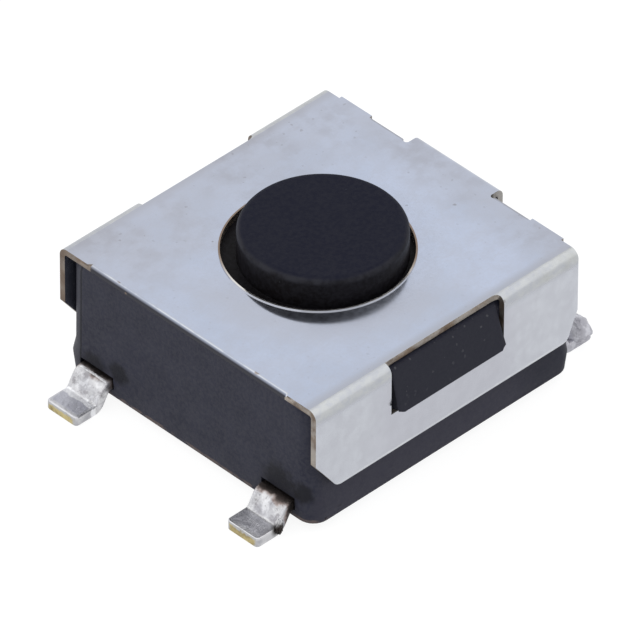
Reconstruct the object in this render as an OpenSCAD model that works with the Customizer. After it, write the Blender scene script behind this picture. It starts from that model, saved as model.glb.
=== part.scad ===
// Surface mount tactile push button switch, in millimetres.
// The solder feet stand on z = 0, the terminals leave along X and the cover is folded down along Y.

/* [Cover] */
// Width over the two folded sides
cover_w = 6.2; // [5.9:0.05:6.8]
// Length of the folded sides
cover_len = 6.2; // [6.0:0.05:6.8]
// Height of the cover's upper face above the feet
cover_top = 2.75; // [2.6:0.01:3.2]
// Thickness of the cover sheet
sheet_t = 0.12; // [0.08:0.01:0.16]
// Inside radius of the folds
fold_r = 0.05; // [0.04:0.01:0.15]
// Height of a folded side, from the upper face to its lower edge
skirt_h = 1.84; // [1.6:0.01:1.9]
// Length of the corner cut at the plain end of a folded side
front_cut_x = 0.5; // [0.2:0.01:0.8]
// Height of the corner cut at the plain end of a folded side
front_cut_z = 0.68; // [0.2:0.01:0.7]
// Length of the corner cut at the tabbed end of a folded side
rear_cut_x = 0.24; // [0.1:0.01:0.5]
// Height of the corner cut at the tabbed end of a folded side
rear_cut_z = 0.57; // [0.1:0.01:0.6]
// Diameter of the plunger hole
hole_d = 3.32; // [3.2:0.01:3.6]
// Height of the raised lip around the hole
lip_h = 0.05; // [0.01:0.01:0.08]
// Width of the raised lip
lip_w = 0.03; // [0.02:0.01:0.08]
// Radius of the rolled middle stretch of the plain edge
edge_round = 0.07; // [0.02:0.01:0.08]
// Length of each sheared stretch at the ends of the plain edge
sheared_edge = 0.75; // [0.4:0.01:1.2]

/* [Snap windows] */
// Width of the window in each folded side
window_w = 2.66; // [2.0:0.02:3.2]
// Depth of the window's lower edge under the upper face
window_drop = 1.03; // [0.8:0.01:1.2]
// Reach of the window into the upper face, from the outside of the fold
window_reach = 0.17; // [0.15:0.01:0.3]
// Play between a window and its snap boss, on each side
window_play = 0.09; // [0.02:0.01:0.2]
// Height play between a window's lower edge and the boss above it
window_lift = 0.04; // [0.02:0.01:0.1]
// How far a snap boss stands out beyond the folded side
boss_proud = 0.14; // [0.05:0.01:0.2]
// How far a boss's face leans back up to its upper edge
boss_lean = 0.24; // [0.1:0.01:0.34]
// Depth of a boss's upper face under the cover sheet
boss_drop = 0.05; // [0.02:0.01:0.1]

/* [End tab] */
// Width of the bent tab
tab_w = 2.0; // [1.4:0.05:2.4]
// Gap between the tab and the end wall behind it
tab_gap = 0.155; // [0.04:0.005:0.2]
// Inside radius of the tab's bend
tab_bend_r = 0.03; // [0.02:0.01:0.1]
// Height of the tab, from the upper face to its lower edge
tab_drop = 0.95; // [0.5:0.05:1.4]
// Width of the set back edge on each side of the tab
relief_w = 0.94; // [0.5:0.02:1.0]
// Width of the round relief notch beside the tab
notch_w = 0.12; // [0.08:0.01:0.2]
// Depth of the relief notch behind the plate's edge
notch_deep = 0.04; // [0.02:0.01:0.1]
// Length of the edge land between the relief and the corner
land_len = 0.74; // [0.4:0.02:0.8]
// How far an edge land stands out
land_out = 0.06; // [0.02:0.01:0.1]

/* [Base] */
// How far each end wall reaches beyond the ends of the folded sides
end_reach = 0.01; // [0:0.01:0.03]
// How far the base stays inside the cover's width at the parting line
rim_set = 0.05; // [0.02:0.01:0.1]
// Radius of the upright corners
corner_r = 0.32; // [0.2:0.01:0.5]
// Height of the underside above the feet
standoff = 0.15; // [0.1:0.01:0.2]
// Mould draft on each side of the parting line
draft = 0.03; // [0.01:0.01:0.05]
// Chamfer along the lower edges
foot_chamfer = 0.05; // [0.02:0.01:0.08]
// Play between the base and the inside of a folded side
skirt_play = 0.01; // [0.005:0.005:0.02]
// Chamfer along the upper edges under the folds
shoulder = 0.18; // [0.1:0.01:0.22]
// How far under the folded sides the rim has narrowed to fit between them
rim_gap = 0.05; // [0.03:0.01:0.1]
// Plastic that covers the contact strips in the well
strip_cover = 0.13; // [0.08:0.01:0.2]
// Width of the pocket around a terminal, on each side of it
pocket_side = 0.08; // [0.05:0.01:0.3]
// Height of the pocket above a terminal
pocket_rise = 0.1; // [0.05:0.01:0.2]
// Depth of the pocket
pocket_depth = 0.1; // [0.05:0.01:0.15]

/* [Plunger] */
// Play between the round key and the hole, all round
key_play = 0.19; // [0.1:0.01:0.22]
// Height of the key above the cover
key_proud = 0.51; // [0.3:0.01:0.7]
// Radius of the key's upper edge
key_round = 0.13; // [0.03:0.01:0.16]
// Diameter of the flange that the cover keeps in
flange_d = 4.05; // [3.8:0.01:4.2]
// Play between the flange and the contact well, all round
flange_play = 0.125; // [0.1:0.005:0.15]
// Thickness of the flange
flange_t = 0.55; // [0.4:0.05:0.7]
// Diameter of the shaft under the flange
shaft_d = 2.2; // [1.6:0.1:2.4]
// Length of the shaft under the flange
shaft_l = 0.65; // [0.4:0.05:0.8]
// Diameter of the nose that rests on the dome
nose_d = 1.1; // [0.8:0.05:1.3]
// Chamfer around the nose
nose_chamfer = 0.1; // [0.05:0.01:0.2]
// Sideways rest of the plunger in its play, along X and against Y
rest_shift = 0.045; // [0:0.005:0.055]

/* [Contact dome] */
// Play between the dome's rim and the contact well, all round
dome_play = 0.15; // [0.05:0.01:0.2]
// Width of the flat rim
dome_rim = 0.15; // [0.1:0.01:0.2]
// Thickness of the dome
dome_t = 0.06; // [0.04:0.01:0.08]
// Travel from rest until the dome meets the centre contact
travel = 0.25; // [0.2:0.01:0.3]

/* [Contact strips and terminals] */
// Thickness of the strips
strip_t = 0.2; // [0.15:0.01:0.2]
// Width of a strip and of its terminals
strip_w = 0.74; // [0.5:0.02:0.8]
// Distance between the two terminals on one side
terminal_pitch = 4.4; // [4.3:0.05:4.5]
// Height of the strips' lower face above the underside of the base
strip_rise = 0.2; // [0.08:0.01:0.25]
// Reach of a terminal beyond the base
terminal_out = 0.87; // [0.7:0.01:1.2]
// Length of the flat solder foot
foot_len = 0.48; // [0.3:0.01:0.6]
// Inside radius of the terminal's bends
terminal_bend_r = 0.06; // [0.04:0.01:0.1]
// Angle of the terminal's slope
terminal_slope = 62; // [45:1:65]
// How far the contact pads stand out of the well floor
pad_proud = 0.02; // [0.01:0.01:0.05]
// Diameter of the centre contact
centre_pad_d = 1.0; // [0.8:0.05:1.2]
// Width of a rim contact pad along Y
rim_pad_len = 1.0; // [0.6:0.05:1.2]
// Length of the ramp up to a pad
ramp_len = 0.25; // [0.2:0.01:0.4]

/* [Hidden] */
$fn = 96;
cut = 0.5;
cover_low = cover_top - sheet_t;
skirt_bottom = cover_top - skirt_h;
skirt_in = cover_w / 2 - sheet_t;
fold_out = fold_r + sheet_t;
base_top = cover_low;
base_len = cover_len + 2 * end_reach;
rim_w = cover_w - 2 * rim_set;
base_half = skirt_in - skirt_play;
strip_z = standoff + strip_rise;
strip_top = strip_z + strip_t;
key_d = hole_d - 2 * key_play;
well_d = flange_d + 2 * flange_play;
dome_d = well_d - 2 * dome_play;
floor_z = strip_top + strip_cover;
pad_z = floor_z + pad_proud;
pad_x = (well_d - strip_w) / 2;
terminal_y = terminal_pitch / 2;
dome_cap_r = dome_d / 2 - dome_rim;
dome_inside_r = (dome_cap_r * dome_cap_r + travel * travel) / (2 * travel);
nose_z = pad_z + travel + dome_t;
flange_z = cover_low - flange_t;
shaft_z = flange_z - shaft_l;
key_top = cover_top + key_proud;
boss_bottom = cover_top - window_drop + window_lift;
boss_top = base_top - boss_drop;
boss_w = window_w - 2 * window_play;
tab_face = base_len / 2 + tab_gap + sheet_t;
tab_bend_out = tab_bend_r + sheet_t;
toe_x = base_len / 2 + terminal_out;
bend_mid_r = terminal_bend_r + strip_t / 2;
slope_drop = strip_z - 2 * bend_mid_r * (1 - cos(terminal_slope));
slope_len = slope_drop / sin(terminal_slope);
bend_reach = 2 * bend_mid_r * sin(terminal_slope) + slope_len * cos(terminal_slope);
knee_x = toe_x - foot_len - bend_reach;

// Flat wedge of the given angle, from the +X direction turning left.
module wedge(reach, angle) {
    polygon([[0, 0], [reach, 0], [reach, reach * tan(angle / 2)],
        [reach * cos(angle), reach * sin(angle)]]);
}

// Bend in a sheet, drawn around the origin from the +X direction turning left.
module bend(inside, thick, angle) {
    intersection() {
        difference() {
            circle(inside + thick);
            circle(inside);
        }
        wedge(2 * (inside + thick), angle);
    }
}

// Sharp corner outside a quarter round of radius r, centred on the round.
module corner_waste(r) {
    difference() {
        square(r + cut);
        circle(r);
    }
}

// Puts a profile drawn in X and Z on its length along Y, centred.
module along_y(length) {
    rotate([90, 0, 0])
        linear_extrude(length, center = true) children();
}

// Puts a profile drawn in Y and Z on its length along X, centred.
module along_x(length) {
    rotate([90, 0, 90])
        linear_extrude(length, center = true) children();
}

// Repeats its children on both sides of the XZ plane.
module both_sides_y() {
    children();
    mirror([0, 1, 0]) children();
}

// Repeats its children on both sides of the YZ plane.
module both_sides_x() {
    children();
    mirror([1, 0, 0]) children();
}

// Side view of the strip from the middle of the switch to the toe of one terminal.
module terminal_profile() {
    translate([0, strip_z])
        square([knee_x, strip_t]);
    translate([knee_x, strip_z - terminal_bend_r])
        rotate(90 - terminal_slope) {
            bend(terminal_bend_r, strip_t, terminal_slope);
            translate([terminal_bend_r, -slope_len])
                square([strip_t, slope_len]);
            translate([2 * terminal_bend_r + strip_t, -slope_len])
                rotate(180) {
                    bend(terminal_bend_r, strip_t, terminal_slope);
                    rotate(terminal_slope)
                        translate([terminal_bend_r, 0])
                            square([strip_t, foot_len]);
                }
        }
}

// One strip that runs through the base and ends in a solder foot on each side.
module through_strip() {
    along_y(strip_w)
        both_sides_x()
            terminal_profile();
}

// Side view of an arm that leaves the strip at reach and rises to a raised pad at pad_end.
module arm_profile(reach, ramp_end, pad_end) {
    polygon([[reach, strip_z], [ramp_end + ramp_len, strip_z], [ramp_end, pad_z - strip_t],
        [pad_end, pad_z - strip_t], [pad_end, pad_z], [ramp_end, pad_z],
        [ramp_end + ramp_len, strip_top], [reach, strip_top]]);
}

module centre_contact_strip() {
    color([0.78, 0.78, 0.80]) {
        translate([0, -terminal_y, 0])
            through_strip();
        mirror([0, 1, 0])
            along_x(strip_w)
                arm_profile(terminal_y, centre_pad_d / 2, 0);
        translate([0, 0, pad_z - strip_t])
            cylinder(h = strip_t, d = centre_pad_d);
    }
}

module rim_contact_strip() {
    color([0.80, 0.79, 0.78]) {
        translate([0, terminal_y, 0])
            through_strip();
        both_sides_x()
            translate([pad_x, 0, 0])
                along_x(strip_w)
                    arm_profile(terminal_y, rim_pad_len / 2, -rim_pad_len / 2);
    }
}

module contact_dome() {
    color([0.72, 0.74, 0.76])
        rotate_extrude() {
            intersection() {
                translate([0, pad_z + travel - dome_inside_r])
                    difference() {
                        circle(dome_inside_r + dome_t, $fn = 360);
                        circle(dome_inside_r, $fn = 360);
                    }
                translate([0, pad_z])
                    square([dome_cap_r, travel + dome_t]);
            }
            translate([dome_cap_r, pad_z])
                square([dome_rim, dome_t]);
        }
}

module plunger() {
    color([0.15, 0.15, 0.17])
        translate([rest_shift, -rest_shift, 0]) {
            difference() {
                translate([0, 0, flange_z])
                    cylinder(h = key_top - flange_z, d = key_d);
                rotate_extrude()
                    translate([key_d / 2 - key_round, key_top - key_round])
                        corner_waste(key_round);
            }
            translate([0, 0, flange_z])
                cylinder(h = flange_t, d = flange_d);
            translate([0, 0, shaft_z])
                cylinder(h = shaft_l, d = shaft_d);
            translate([0, 0, nose_z + nose_chamfer])
                cylinder(h = shaft_z - nose_z - nose_chamfer, d = nose_d);
            translate([0, 0, nose_z])
                cylinder(h = nose_chamfer, d1 = nose_d - 2 * nose_chamfer, d2 = nose_d);
        }
}

// Plan of the base with its rounded upright corners.
module base_plan() {
    corner_x = base_len / 2 - corner_r;
    corner_y = rim_w / 2 - corner_r;
    square([base_len, 2 * corner_y], center = true);
    square([2 * corner_x, rim_w], center = true);
    for (x = [-corner_x, corner_x])
        for (y = [-corner_y, corner_y])
            translate([x, y])
                circle(corner_r);
}

// Half section along X, with mould draft both ways from the parting line.
module end_section() {
    low = base_len / 2 - draft;
    polygon([[0, standoff], [low - foot_chamfer, standoff], [low, standoff + foot_chamfer],
        [base_len / 2, strip_top], [low, base_top], [0, base_top]]);
}

// Half section along Y, widest at the parting line and narrow between the folded sides.
module side_section() {
    low = rim_w / 2 - draft;
    polygon([[0, standoff], [low - foot_chamfer, standoff], [low, standoff + foot_chamfer],
        [rim_w / 2, strip_top], [base_half, skirt_bottom - rim_gap],
        [base_half, base_top - shoulder], [base_half - shoulder, base_top], [0, base_top]]);
}

// Wedge that the window in a folded side snaps over.
module snap_boss() {
    face_y = cover_w / 2 + boss_proud;
    along_x(boss_w)
        polygon([[base_half - shoulder, boss_bottom], [face_y, boss_bottom],
            [face_y - boss_lean, boss_top], [base_half - shoulder, boss_top]]);
}

// Recess in the end wall around one terminal.
module terminal_pocket() {
    translate([base_len / 2 - pocket_depth, terminal_y - strip_w / 2 - pocket_side, strip_z])
        cube([cut, strip_w + 2 * pocket_side, strip_t + pocket_rise]);
}

module base() {
    color([0.20, 0.20, 0.23])
        difference() {
            union() {
                intersection() {
                    translate([0, 0, standoff])
                        linear_extrude(base_top - standoff) base_plan();
                    along_y(rim_w + cut)
                        both_sides_x() end_section();
                    along_x(base_len + cut)
                        both_sides_x() side_section();
                }
                both_sides_y() snap_boss();
            }
            translate([0, 0, floor_z])
                cylinder(h = base_top - floor_z + cut, d = well_d);
            both_sides_x()
                both_sides_y() terminal_pocket();
            centre_contact_strip();
            rim_contact_strip();
        }
}

// Half section of the folded sheet along Y.
module folded_section() {
    translate([0, cover_low])
        square([cover_w / 2 - fold_out, sheet_t]);
    translate([cover_w / 2 - fold_out, cover_top - fold_out])
        bend(fold_r, sheet_t, 90);
    translate([skirt_in, skirt_bottom])
        square([sheet_t, skirt_h - fold_out]);
}

// Corner of a folded side that is cut away, seen from the side.
module corner_cut(cut_x, cut_z) {
    translate([cover_len / 2, skirt_bottom])
        polygon([[cut, -cut], [cut, cut_z], [0, cut_z], [-cut_x, 0], [-cut_x, -cut]]);
}

// Bent tab at the end of the cover, seen from the side.
module tab_section() {
    bend_x = tab_face - tab_bend_out;
    translate([0, cover_low])
        square([bend_x, sheet_t]);
    translate([bend_x, cover_top - tab_bend_out])
        bend(tab_bend_r, sheet_t, 90);
    translate([tab_face - sheet_t, cover_top - tab_drop])
        square([sheet_t, tab_drop - tab_bend_out]);
}

// Raised lip around the hole, in section.
module lip_section() {
    edge_x = hole_d / 2;
    polygon([[edge_x - lip_w, cover_low], [edge_x + lip_w, cover_low],
        [edge_x + lip_w, cover_top], [edge_x + lip_w / 2, cover_top + lip_h],
        [edge_x + lip_w / 4, cover_top + lip_h], [edge_x, cover_top],
        [edge_x - lip_w, cover_top]]);
}

// Relief notch beside the tab, in plan.
module relief_notch() {
    translate([cover_len / 2 - notch_deep + notch_w / 2, (tab_w + notch_w) / 2]) {
        circle(d = notch_w);
        translate([0, -notch_w / 2])
            square([cut, notch_w]);
    }
}

module cover() {
    land_y = tab_w / 2 + relief_w;
    color([0.80, 0.81, 0.84])
        difference() {
            union() {
                difference() {
                    along_x(cover_len)
                        both_sides_x() folded_section();
                    translate([tab_face - tab_bend_out, -tab_w / 2, cover_low - cut])
                        cube([cut, tab_w, sheet_t + 2 * cut]);
                }
                intersection() {
                    along_y(tab_w) tab_section();
                    translate([hole_d / 2, -tab_w, 0])
                        cube([tab_face, 2 * tab_w, cover_top]);
                }
                both_sides_y()
                    translate([cover_len / 2 - land_out, land_y, cover_low])
                        cube([2 * land_out, land_len, sheet_t]);
                rotate_extrude() lip_section();
            }
            translate([0, 0, cover_low - cut])
                cylinder(h = sheet_t + 2 * cut, d = hole_d);
            translate([edge_round - cover_len / 2, 0, cover_top - edge_round])
                along_y(cover_w - 2 * sheared_edge)
                    mirror([1, 0]) corner_waste(edge_round);
            both_sides_y()
                translate([0, 0, cover_low - cut])
                    linear_extrude(sheet_t + 2 * cut) relief_notch();
            along_y(cover_w + cut) {
                corner_cut(rear_cut_x, rear_cut_z);
                mirror([1, 0]) corner_cut(front_cut_x, front_cut_z);
            }
            both_sides_y()
                translate([-window_w / 2, cover_w / 2 - window_reach, cover_top - window_drop])
                    cube([window_w, window_reach + cut, window_drop + cut]);
        }
}

base();
centre_contact_strip();
rim_contact_strip();
contact_dome();
plunger();
cover();
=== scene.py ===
"""Looks of a small surface mount push button switch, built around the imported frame.

Pieces are modelled in millimetres at their place in the frame, then brought to metres.
"""

import logging
import math
from collections.abc import Callable, Iterable
from dataclasses import dataclass, field
from enum import Enum

import bmesh
import bpy
from mathutils import Matrix, Vector


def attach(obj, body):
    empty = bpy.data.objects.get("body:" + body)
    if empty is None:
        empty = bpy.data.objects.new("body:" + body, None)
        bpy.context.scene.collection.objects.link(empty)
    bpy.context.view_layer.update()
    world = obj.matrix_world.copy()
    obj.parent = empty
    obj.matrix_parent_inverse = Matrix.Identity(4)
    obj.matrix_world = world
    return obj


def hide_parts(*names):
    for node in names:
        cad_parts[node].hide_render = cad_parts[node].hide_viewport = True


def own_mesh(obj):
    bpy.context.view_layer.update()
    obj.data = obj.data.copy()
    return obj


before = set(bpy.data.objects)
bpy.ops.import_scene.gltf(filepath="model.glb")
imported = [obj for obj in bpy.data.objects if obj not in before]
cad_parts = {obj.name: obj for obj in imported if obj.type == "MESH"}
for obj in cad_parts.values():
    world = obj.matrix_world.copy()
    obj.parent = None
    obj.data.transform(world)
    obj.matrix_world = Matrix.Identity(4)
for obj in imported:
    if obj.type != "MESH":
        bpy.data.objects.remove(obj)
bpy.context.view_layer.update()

MM = 0.001
NEAR = 0.001  # within this many millimetres a point counts as at a place
SLACK = 0.01  # the same, where the neighbours are far off
WELD = 0.0005  # points closer than this are merged
SLIVER = 0.00002  # edges shorter than this are left over from cutting
GAP_SIDES = 8  # most sides of a gap that cutting left
FACING = 0.9  # least part of a unit normal along the way that a face looks
SMOOTH_ANGLE = math.radians(32)
X_AXIS, Y_AXIS, Z_AXIS = (1, 0, 0), (0, 1, 0), (0, 0, 1)
BOTH = (-1, 1)
WHITE = (1, 1, 1)

log = logging.getLogger("switch")

Colour = tuple[float, float, float]
Point = tuple[float, float, float]
Pair = tuple[float, float]


class Part(Enum):
    """Which parts of a mesh an edit-mode selection picks."""

    POINTS = "VERT"
    EDGES = "EDGE"
    FACES = "FACE"


class Body(Enum):
    """The two bodies of the switch that pieces ride on."""

    HOUSING = "housing"
    KEY = "key"


# ---------------------------------------------------------------- modelling


class Bench:
    """One piece on the bench: shaped in millimetres by edit-mode operators."""

    def __init__(self, name: str, primitive: Callable[..., set[str]],
                 scale: Point = (1, 1, 1), **settings: object) -> None:
        """Start a piece from a primitive, with its place and size settled in its mesh.

        Args:
            name: Name of the piece.
            primitive: Operator that adds the primitive.
            scale: Its scale.
            **settings: Settings of the operator.
        """
        bpy.ops.object.select_all(action="DESELECT")
        primitive(**settings)
        self.piece = bpy.context.object
        self.piece.name = self.piece.data.name = name
        self.piece.scale = scale
        bpy.ops.object.transform_apply(location=True, rotation=True, scale=True)

    @classmethod
    def block(cls, name: str, first: Point, second: Point) -> "Bench":
        """Start a piece from a cube that fills the box between two corners."""
        pairs = list(zip(first, second))
        return cls(name, bpy.ops.mesh.primitive_cube_add, [abs(b - a) for a, b in pairs],
                   size=1, location=[(a + b) / 2 for a, b in pairs])

    @classmethod
    def rod(cls, name: str, radius: float, low: float, high: float, axis: Pair = (0, 0),
            sides: int = 128) -> "Bench":
        """Start a piece from a cylinder that stands on an axis between two heights."""
        return cls(name, bpy.ops.mesh.primitive_cylinder_add, vertices=sides, radius=radius,
                   depth=high - low, location=(*axis, (low + high) / 2))

    def _alone(self) -> None:
        """Select the piece alone, so that an operator acts on it."""
        bpy.ops.object.select_all(action="DESELECT")
        self.piece.select_set(True)
        bpy.context.view_layer.objects.active = self.piece

    def edit(self) -> None:
        """Open the piece in edit mode with nothing selected."""
        self._alone()
        bpy.ops.object.mode_set(mode="EDIT")
        bpy.ops.mesh.select_all(action="DESELECT")

    def done(self) -> None:
        """Leave edit mode."""
        bpy.ops.object.mode_set(mode="OBJECT")

    def pick(self, part: Part, test: Callable[..., bool]) -> None:
        """Select the parts that pass a test, in place of what was selected.

        Args:
            part: What is picked. Points are tested by place, edges by both ends
                and faces by middle and normal.
            test: Tells whether one of them is picked.
        """
        bpy.ops.mesh.select_mode(type=part.value)
        bpy.ops.mesh.select_all(action="DESELECT")
        cage = bmesh.from_edit_mesh(self.piece.data)
        if part is Part.POINTS:
            found = [v for v in cage.verts if test(v.co)]
        elif part is Part.EDGES:
            found = [e for e in cage.edges if test(*(v.co for v in e.verts))]
        else:
            found = [f for f in cage.faces if test(f.calc_center_median(), f.normal)]
        for item in found:
            item.select_set(True)
        cage.select_flush_mode()
        bmesh.update_edit_mesh(self.piece.data)
        if not found:
            log.warning("%s: nothing picked", self.piece.name)

    def saw(self, place: Point, normal: Point, drop: bool = False) -> None:
        """Cut the selected faces along a plane, and drop what is past it if asked to."""
        bpy.ops.mesh.bisect(plane_co=place, plane_no=normal, clear_outer=drop)

    def saw_all(self, normal: Point, places: Iterable[float]) -> None:
        """Cut the whole piece along several parallel planes.

        Args:
            normal: Unit normal along one axis.
            places: Where the planes stand along it.
        """
        for place in places:
            bpy.ops.mesh.select_all(action="SELECT")
            self.saw(tuple(place * n for n in normal), normal)

    def push(self, x: float = 0, y: float = 0, z: float = 0) -> None:
        """Extrude what is selected by a step."""
        bpy.ops.mesh.extrude_region_move(TRANSFORM_OT_translate={"value": (x, y, z)})

    def move(self, x: float = 0, y: float = 0) -> None:
        """Move what is selected by a step."""
        bpy.ops.transform.translate(value=(x, y, 0))

    def scale(self, x: float, y: float, centre: Point = (0, 0, 0)) -> None:
        """Scale what is selected along X and Y about a centre."""
        bpy.ops.transform.resize(value=(x, y, 1), center_override=centre)

    def stack(self, height: float, radius: float, rings: Iterable[Pair],
              axis: Pair = (0, 0)) -> None:
        """Draw the selected round face on from ring to ring.

        Args:
            height: Height of the face.
            radius: Its radius.
            rings: Height and radius of each ring in turn.
            axis: Where its middle lies in the XY plane.
        """
        for level, wide in rings:
            self.push(z=level - height)
            self.scale(wide / radius, wide / radius, (*axis, level))
            height, radius = level, wide

    def fold(self, degrees: float, centre: Point, axis: Point, steps: int) -> None:
        """Spin the selected edges or face round an axis."""
        bpy.ops.mesh.spin(steps=steps, angle=math.radians(degrees), center=centre, axis=axis)

    def round_off(self, radius: float, segments: int, what: str = "EDGES") -> None:
        """Bevel the selected edges or corners."""
        bpy.ops.mesh.bevel(offset=radius, segments=segments, affect=what,
                           clamp_overlap=what == "EDGES")

    def weld(self) -> None:
        """Merge points that meet and turn every face outwards."""
        bpy.ops.mesh.select_all(action="SELECT")
        bpy.ops.mesh.remove_doubles(threshold=WELD)
        bpy.ops.mesh.normals_make_consistent(inside=False)

    def modify(self, kind: str, **settings: object) -> None:
        """Put a modifier on the piece and apply it.

        Args:
            kind: Type of the modifier.
            **settings: Its settings by name.
        """
        self._alone()
        step = self.piece.modifiers.new(kind.lower(), kind)
        for name, value in settings.items():
            setattr(step, name, value)
        bpy.ops.object.modifier_apply(modifier=step.name)

    def break_edges(self, width: float, degrees: float, segments: int = 2) -> None:
        """Bevel every edge that is sharper than an angle."""
        self.modify("BEVEL", width=width, segments=segments, limit_method="ANGLE",
                    angle_limit=math.radians(degrees))

    def cut_with(self, tool: "Bench", how: str = "DIFFERENCE") -> None:
        """Cut another piece out of this one, or add it, and use the other one up."""
        self.modify("BOOLEAN", operation=how, object=tool.piece, solver="EXACT")
        bpy.data.objects.remove(tool.piece)

    def tidy(self) -> None:
        """Take out the slivers that cutting left and close what opened."""
        self.edit()
        bpy.ops.mesh.select_all(action="SELECT")
        bpy.ops.mesh.dissolve_degenerate(threshold=SLIVER)
        bpy.ops.mesh.select_all(action="SELECT")
        bpy.ops.mesh.fill_holes(sides=GAP_SIDES)
        self.done()

    def tag(self, slot: int) -> "Bench":
        """Give the piece two empty material slots and put all of its faces in one.

        Args:
            slot: Number of the slot.

        Returns:
            The piece itself.
        """
        for _ in BOTH:
            self.piece.data.materials.append(None)
        self.paint(slot, lambda c, n: True)
        return self

    def paint(self, slot: int, test: Callable[[Vector, Vector], bool]) -> None:
        """Give a material slot to the faces whose middle and normal pass a test.

        Args:
            slot: Number of the slot.
            test: Tells whether a face passes.
        """
        for face in self.piece.data.polygons:
            if test(face.center, face.normal):
                face.material_index = slot

    def finish(self, body: Body, node: str, record_slot: str,
               *finishes: bpy.types.Material) -> bpy.types.Object:
        """Shade the piece, bring it to metres and hang it on its body.

        Args:
            body: Body that it rides on.
            node: CAD node that it stands for.
            record_slot: Not used.
            *finishes: Its materials in slot order.

        Returns:
            The finished piece.
        """
        self._alone()
        bpy.ops.object.shade_smooth_by_angle(angle=SMOOTH_ANGLE)
        self.modify("WEIGHTED_NORMAL", mode="FACE_AREA", weight=50, keep_sharp=True)
        self.piece.scale = (MM, MM, MM)
        bpy.ops.object.transform_apply(location=False, rotation=False, scale=True)
        mesh = self.piece.data
        numbers = [face.material_index for face in mesh.polygons]
        mesh.materials.clear()
        for finish in finishes:
            mesh.materials.append(finish)
        for face, number in zip(mesh.polygons, numbers):
            face.material_index = number
        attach(self.piece, body.value)
        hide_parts(node)
        log.info("%s: %d faces", self.piece.name, len(mesh.polygons))
        return self.piece


# ---------------------------------------------------------------- shader building


@dataclass(frozen=True)
class Wire:
    """One output of a node, with which sums are written as such."""

    board: "NodeBoard"
    socket: bpy.types.NodeSocket

    def __getitem__(self, key: str | int) -> "Wire":
        """Give another output of the same node."""
        return Wire(self.board, self.socket.node.outputs[key])

    def __mul__(self, other: "Setting") -> "Wire":
        """Multiply by a value."""
        return self.board.maths("MULTIPLY", self, other)

    def __add__(self, other: "Setting") -> "Wire":
        """Add a value."""
        return self.board.maths("ADD", self, other)

    def __sub__(self, other: "Setting") -> "Wire":
        """Take a value off."""
        return self.board.maths("SUBTRACT", self, other)

    def __rsub__(self, other: float) -> "Wire":
        """Take this value off a number."""
        return self.board.maths("SUBTRACT", other, self)

    def __truediv__(self, other: "Setting") -> "Wire":
        """Divide by a value."""
        return self.board.maths("DIVIDE", self, other)

    def __rtruediv__(self, other: float) -> "Wire":
        """Divide a number by this value."""
        return self.board.maths("DIVIDE", other, self)

    def __or__(self, other: "Setting") -> "Wire":
        """Give the larger of two values."""
        return self.board.maths("MAXIMUM", self, other)

    def __abs__(self) -> "Wire":
        """Give the value without its sign."""
        return self.board.maths("ABSOLUTE", self)

    def ramp(self, start: "Setting", end: "Setting", low: float = 0.0,
             high: float = 1.0) -> "Wire":
        """Turn the value smoothly from low at start to high at end.

        Args:
            start: Where the result leaves low.
            end: Where it reaches high.
            low: First result.
            high: Last result.

        Returns:
            The result.
        """
        return self.board.add("MapRange", {"Value": self, "From Min": start, "From Max": end,
                                           "To Min": low, "To Max": high},
                              interpolation_type="SMOOTHSTEP")

    def coat(self, *coats: "tuple[Setting, Setting]") -> "Wire":
        """Lay other colours over this one in turn.

        Args:
            *coats: Each coat's mask and its colour.

        Returns:
            The colour on top.
        """
        colour = self
        for mask, over in coats:
            colour = self.board.blend(mask, colour, over)
        return colour


Setting = float | tuple | Wire


class NodeBoard:
    """Places and links the nodes of one tree."""

    def __init__(self, tree: bpy.types.NodeTree) -> None:
        """Take the tree of a material, a world or a group."""
        self.tree = tree

    def feed(self, node: bpy.types.Node, values: dict[str | int, Setting]) -> None:
        """Set or link inputs of a node.

        Args:
            node: The node.
            values: What is fed, by the input's place or by its name, in which an
                underscore stands for a space.
        """
        for key, value in values.items():
            socket = node.inputs[key.replace("_", " ") if isinstance(key, str) else key]
            if isinstance(value, Wire):
                self.tree.links.new(value.socket, socket)
            else:
                socket.default_value = (*value, 1.0) if socket.type == "RGBA" else value

    def add(self, kind: str, inputs: dict[str | int, Setting] | None = None,
            **settings: object) -> Wire:
        """Add a node.

        Args:
            kind: Its type without the ShaderNode prefix.
            inputs: What its inputs are fed.
            **settings: Its settings by name.

        Returns:
            Its first output.
        """
        node = self.tree.nodes.new("ShaderNode" + kind)
        for name, value in settings.items():
            setattr(node, name, value)
        self.feed(node, inputs or {})
        return Wire(self, node.outputs[0])

    def maths(self, how: str, *values: Setting) -> Wire:
        """Do a sum on one or two numbers."""
        return self.add("Math", dict(enumerate(values)), operation=how)

    def vector(self, how: str, *values: Setting) -> Wire:
        """Do a sum on vectors."""
        return self.add("VectorMath", dict(enumerate(values)), operation=how)

    def noise(self, where: Wire, scale: Setting, detail: Setting,
              roughness: float = 0.5) -> Wire:
        """Lay out a noise."""
        return self.add("TexNoise", {"Vector": where, "Scale": scale, "Detail": detail,
                                     "Roughness": roughness})

    def blend(self, share: Setting, first: Setting, second: Setting) -> Wire:
        """Mix two colours, of which the second has the given share."""
        return self.add("Mix", {0: share, 6: first, 7: second}, data_type="RGBA")[2]

    def pick_shader(self, share: Wire, first: Wire, second: Wire, end: str) -> None:
        """Show one of two shaders, the second where the share is one, at an end node."""
        chosen = self.add("MixShader", {0: share, 1: first, 2: second})
        self.feed(self.tree.nodes[end], {0: chosen})


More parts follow.
